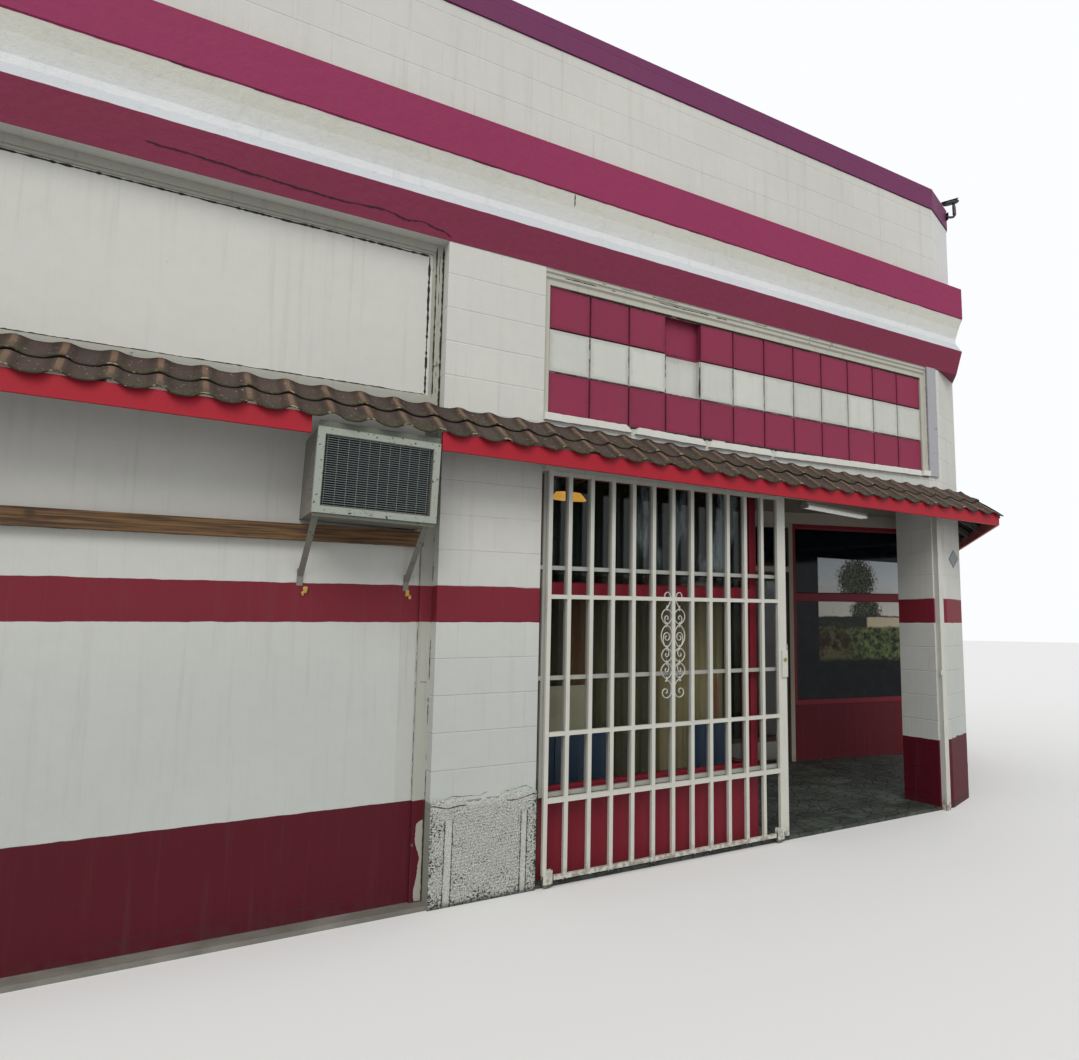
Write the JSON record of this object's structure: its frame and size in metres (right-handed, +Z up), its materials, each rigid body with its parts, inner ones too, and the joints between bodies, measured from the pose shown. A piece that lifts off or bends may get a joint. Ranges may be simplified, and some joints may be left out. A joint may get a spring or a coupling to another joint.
{
  "type": "corner shop building",
  "caption": "Single-storey painted block corner shop with a recessed corner porch, a sliding barred gate, a tiled awning, a boarded bay and a striped panel band.",
  "frame": {"origin": "middle of the building's bounding footprint, on the ground", "axes": "+X along the street front to the right, +Y from the front into the building, +Z up"},
  "size_m": [10.5506, 6.961, 5.518],
  "materials": {
    "back_board": "olive brown boards",
    "bare_wood": "weathered brown timber",
    "dark_metal": "dark painted metal",
    "floor_concrete": "dark stamped concrete",
    "galvanised": "flaking grey paint on galvanised steel",
    "lamp_white": "white diffuser",
    "maroon_panel": "maroon painted panels",
    "maroon_wood": "gloss maroon paint on wood",
    "painted_block": "painted concrete block, cream white",
    "painted_stucco": "painted stucco, bands maroon and hollow cream",
    "plaster": "painted plaster",
    "red_fascia": "red painted fascia board",
    "roof_felt": "flat roof covering",
    "roof_tile": "brown roof tile with moss",
    "roof_timber": "stained timber",
    "wheel_steel": "worn steel",
    "white_panel": "white painted panels",
    "white_steel": "white painted steel tube",
    "white_wood": "white painted boards, weathered",
    "window_glass": "clear window glass"
  },
  "bodies": {
    "building": {"front_column": "painted_block", "right_column": "painted_block", "left_pier": "painted_block", "middle_pier": "painted_block", "left_wall": "painted_block", "back_wall": "painted_block", "right_wall": "painted_block", "front_upper_wall": "painted_block", "corner_upper_wall": "painted_block", "gate_beam": "painted_block", "floor_slab": "floor_concrete", "ceiling": "plaster", "roof_deck": "roof_felt", "cornice_front": "painted_stucco", "cornice_corner": "painted_stucco", "cornice_right": "painted_stucco", "left_bay_frame": "white_wood", "left_plank": "bare_wood", "cooler_guard": "galvanised", "left_boards": "white_wood", "cooler_casing": "galvanised", "fascia_front": "red_fascia", "fascia_corner": "red_fascia", "fascia_right": "red_fascia", "awning_frame_front": "roof_timber", "awning_frame_corner": "roof_timber", "awning_frame_right": "roof_timber", "tiles_front": "roof_tile", "tiles_corner": "roof_tile", "tiles_right": "roof_tile", "band_frame": "white_wood", "band_dark_panels": "maroon_panel", "band_light_panels": "white_panel", "band_sill": "white_wood", "display_frame": "maroon_wood", "return_frame": "maroon_wood", "display_glass": "window_glass", "display_backboard": "back_board", "porch_left_wall": "plaster", "porch_side_wall": "plaster", "porch_head": "plaster", "porch_window_wall": "plaster", "porch_window_frame": "maroon_wood", "door_frame": "maroon_wood", "porch_glass": "window_glass", "porch_lamp": "lamp_white", "window_bars": "white_steel", "gate_guide": "white_steel", "strike_post": "white_steel", "corner_camera": "dark_metal"},
    "gate": {"gate_leaf": "white_steel", "gate_lock_box": "white_steel", "gate_scrollwork": "white_steel"},
    "front_wheel": {"gate_front_wheel": "wheel_steel"},
    "rear_wheel": {"gate_rear_wheel": "wheel_steel"},
    "entrance_door": {"door_leaf": "maroon_wood", "door_glass": "window_glass", "door_handle": "wheel_steel"}
  },
  "joints": [
    {"name": "gate_slide", "type": "slide", "parent": "building", "child": "gate", "axis": [1, 0, 0], "range_m": [0, 1.6838]},
    {"name": "front_wheel_spin", "type": "hinge", "parent": "gate", "child": "front_wheel", "pos_m": [0.69792, -3.15302, 0.035], "axis": [0, 1, 0], "continuous": true},
    {"name": "rear_wheel_spin", "type": "hinge", "parent": "gate", "child": "rear_wheel", "pos_m": [-1.06628, -3.15302, 0.035], "axis": [0, 1, 0], "continuous": true},
    {"name": "door_swing", "type": "hinge", "parent": "building", "child": "entrance_door", "pos_m": [1.95923, -0.57712, 1], "axis": [0, 0, -1], "range_deg": [0, 95]}
  ]
}
